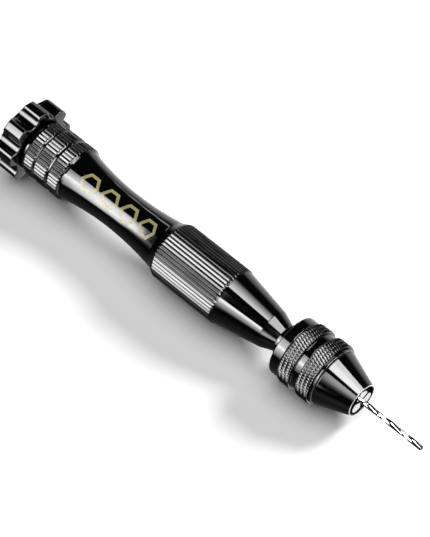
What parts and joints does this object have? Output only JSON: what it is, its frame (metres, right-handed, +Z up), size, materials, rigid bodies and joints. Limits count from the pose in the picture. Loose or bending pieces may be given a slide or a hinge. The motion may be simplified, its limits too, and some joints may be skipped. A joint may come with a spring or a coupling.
{
  "type": "pin vise drill",
  "caption": "Black hand-turned pin vise with a lobed swivel palm cap, knurled handle, three-jaw keyless chuck and a fine twist drill bit.",
  "frame": {"origin": "on the tool's axis, at the centre of the palm cap's flat end face", "axes": "+X along the tool from the palm cap to the drill bit's tip, +Z up with the tool lying level, +Y to the left when looking along +X"},
  "size_m": [0.1584, 0.0246, 0.0246],
  "materials": {
    "black_anodised": "glossy black anodised",
    "bright_steel": "ground bright",
    "zinc_steel": "zinc plated",
    "bearing_steel": "polished",
    "brass": "satin",
    "dark_steel": "oiled black",
    "tool_steel": "bright ground"
  },
  "bodies": {
    "handle": {"handle_body": "black_anodised", "swivel_screw": "zinc_steel", "screw_washer": "zinc_steel", "spacer_collar": "zinc_steel", "bearing_inner_ring": "bearing_steel", "chuck_stud": "zinc_steel", "chuck_lock_ring": "black_anodised", "chuck_core": "bright_steel", "chuck_rear_collar": "black_anodised"},
    "palm_cap": {"swivel_cap": "black_anodised", "cap_cover_disc": "black_anodised", "bearing_outer_ring": "bearing_steel", "bearing_shields": "bearing_steel"},
    "ball_cage": {"bearing_cage": "brass", "bearing_balls": "bearing_steel"},
    "sleeve": {"chuck_sleeve": "black_anodised", "split_nut_a": "dark_steel", "split_nut_b": "dark_steel"},
    "jaw_1": {"jaw_1": "bright_steel"},
    "jaw_2": {"jaw_2": "bright_steel"},
    "jaw_3": {"jaw_3": "bright_steel"},
    "bit": {"drill_bit": "tool_steel"}
  },
  "joints": [
    {"name": "cap_swivel", "type": "hinge", "parent": "handle", "child": "palm_cap", "pos_m": [0, 0, 0], "axis": [1, 0, 0], "continuous": true},
    {"name": "cage_turn", "type": "hinge", "parent": "handle", "child": "ball_cage", "pos_m": [0, 0, 0], "axis": [1, 0, 0], "continuous": true},
    {"name": "sleeve_turn", "type": "hinge", "parent": "handle", "child": "sleeve", "pos_m": [0.1212, 0, 0], "axis": [1, 0, 0], "range_deg": [0, 1800]},
    {"name": "jaw_1_slide", "type": "slide", "parent": "handle", "child": "jaw_1", "axis": [-0.9781, 0, 0.2079], "range_m": [0, 0.00426]},
    {"name": "jaw_2_slide", "type": "slide", "parent": "handle", "child": "jaw_2", "axis": [-0.9781, -0.1801, -0.104], "range_m": [0, 0.00426]},
    {"name": "jaw_3_slide", "type": "slide", "parent": "handle", "child": "jaw_3", "axis": [-0.9781, 0.1801, -0.104], "range_m": [0, 0.00426]},
    {"name": "bit_draw", "type": "slide", "parent": "handle", "child": "bit", "axis": [1, 0, 0], "range_m": [0, 0.016]}
  ],
  "couplings": [
    {"joint": "cage_turn", "follows": "cap_swivel", "ratio": 0.6},
    {"joint": "jaw_1_slide", "follows": "sleeve_turn", "m_per_rad": 0.00013528},
    {"joint": "jaw_2_slide", "follows": "sleeve_turn", "m_per_rad": 0.00013528},
    {"joint": "jaw_3_slide", "follows": "sleeve_turn", "m_per_rad": 0.00013528}
  ]
}
